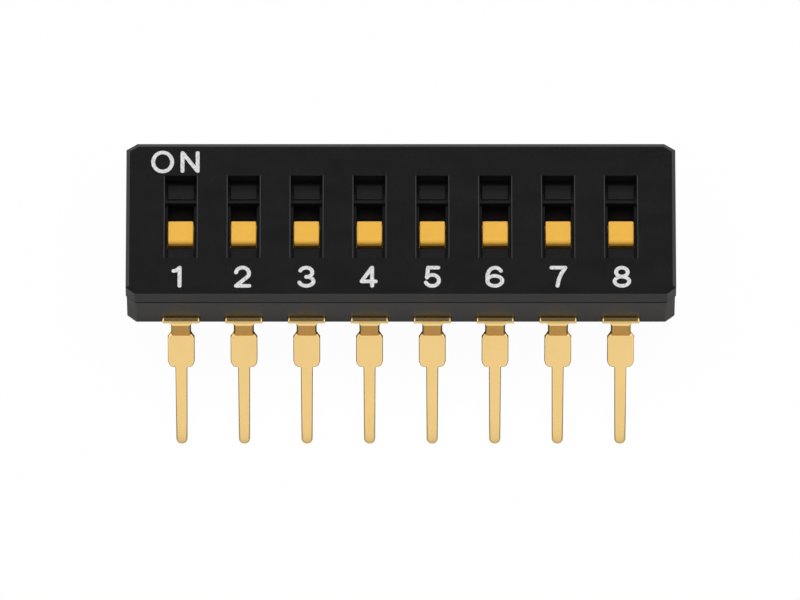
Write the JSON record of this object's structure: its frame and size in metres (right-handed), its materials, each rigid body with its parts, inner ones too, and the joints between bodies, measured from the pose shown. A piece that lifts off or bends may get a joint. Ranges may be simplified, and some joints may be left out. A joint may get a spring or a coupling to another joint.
{
  "type": "dip switch",
  "caption": "Low slide switch package with recessed sliders under a numbered cover and splayed pin terminals along both long sides.",
  "frame": {"origin": "on the ground under the middle of the package, at the height of the pin tips", "axes": "+X along the row from slider 1 to slider 8, +Y towards the ON side, +Z out of the top face"},
  "size_m": [0.0222, 0.0126, 0.0081],
  "materials": {
    "cover_plastic": "fine matt moulded black plastic",
    "base_plastic": "fine matt moulded black plastic",
    "slider_plastic": "smooth amber plastic",
    "terminal_gold": "thin gold plating over brushed sheet",
    "contact_spring": "gold-plated spring strip",
    "print_white": "matt white pad print"
  },
  "bodies": {
    "housing": {"cover": "cover_plastic", "base": "base_plastic", "front_terminal_1": "terminal_gold", "front_terminal_2": "terminal_gold", "front_terminal_3": "terminal_gold", "front_terminal_4": "terminal_gold", "front_terminal_5": "terminal_gold", "front_terminal_6": "terminal_gold", "front_terminal_7": "terminal_gold", "front_terminal_8": "terminal_gold", "back_terminal_1": "terminal_gold", "back_terminal_2": "terminal_gold", "back_terminal_3": "terminal_gold", "back_terminal_4": "terminal_gold", "back_terminal_5": "terminal_gold", "back_terminal_6": "terminal_gold", "back_terminal_7": "terminal_gold", "back_terminal_8": "terminal_gold"},
    "switch_1": {"slider_1": "slider_plastic", "contact_1": "contact_spring"},
    "switch_2": {"slider_2": "slider_plastic", "contact_2": "contact_spring"},
    "switch_3": {"slider_3": "slider_plastic", "contact_3": "contact_spring"},
    "switch_4": {"slider_4": "slider_plastic", "contact_4": "contact_spring"},
    "switch_5": {"slider_5": "slider_plastic", "contact_5": "contact_spring"},
    "switch_6": {"slider_6": "slider_plastic", "contact_6": "contact_spring"},
    "switch_7": {"slider_7": "slider_plastic", "contact_7": "contact_spring"},
    "switch_8": {"slider_8": "slider_plastic", "contact_8": "contact_spring"}
  },
  "joints": [
    {"name": "slider_1_travel", "type": "slide", "parent": "housing", "child": "switch_1", "axis": [0, 1, 0], "range_m": [0, 0.00095]},
    {"name": "slider_2_travel", "type": "slide", "parent": "housing", "child": "switch_2", "axis": [0, 1, 0], "range_m": [0, 0.00095]},
    {"name": "slider_3_travel", "type": "slide", "parent": "housing", "child": "switch_3", "axis": [0, 1, 0], "range_m": [0, 0.00095]},
    {"name": "slider_4_travel", "type": "slide", "parent": "housing", "child": "switch_4", "axis": [0, 1, 0], "range_m": [0, 0.00095]},
    {"name": "slider_5_travel", "type": "slide", "parent": "housing", "child": "switch_5", "axis": [0, 1, 0], "range_m": [0, 0.00095]},
    {"name": "slider_6_travel", "type": "slide", "parent": "housing", "child": "switch_6", "axis": [0, 1, 0], "range_m": [0, 0.00095]},
    {"name": "slider_7_travel", "type": "slide", "parent": "housing", "child": "switch_7", "axis": [0, 1, 0], "range_m": [0, 0.00095]},
    {"name": "slider_8_travel", "type": "slide", "parent": "housing", "child": "switch_8", "axis": [0, 1, 0], "range_m": [0, 0.00095]}
  ]
}
